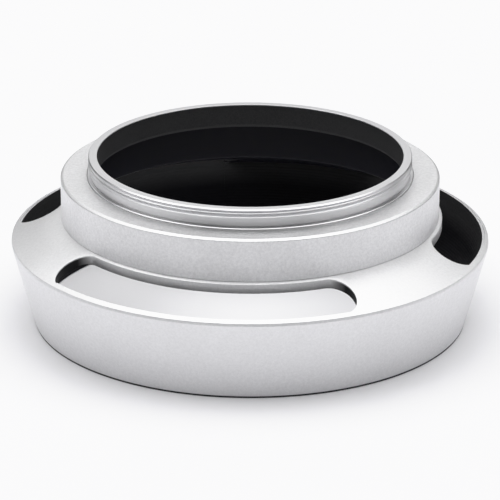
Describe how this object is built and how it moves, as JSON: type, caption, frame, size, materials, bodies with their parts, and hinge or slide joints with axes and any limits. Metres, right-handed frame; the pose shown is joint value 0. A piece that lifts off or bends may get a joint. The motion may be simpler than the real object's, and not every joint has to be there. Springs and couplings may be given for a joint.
{
  "type": "lens hood",
  "caption": "Round vented lens hood that screws into a lens's front filter thread and shades it with a short skirt that narrows towards the front.",
  "frame": {"origin": "centre of the front rim's plane, on the optical axis", "axes": "+Z along the optical axis towards the lens thread; one vent is centred on -Y"},
  "size_m": [0.0578, 0.0578, 0.0205],
  "materials": {
    "turned_aluminium": "bright, with fine turning marks",
    "blasted_aluminium": "finely bead-blasted and clear anodised, satin silver",
    "matt_black": "matt black, slightly grainy",
    "smooth_black": "smooth satin black",
    "ribbed_black": "satin black over fine turned ribs"
  },
  "bodies": {
    "root": {"mount_ring": "turned_aluminium", "bore_sleeve": "matt_black", "rear_collar": "blasted_aluminium", "throat_liner": "smooth_black", "vented_shade": "blasted_aluminium", "skirt_liner": "ribbed_black"}
  },
  "joints": []
}
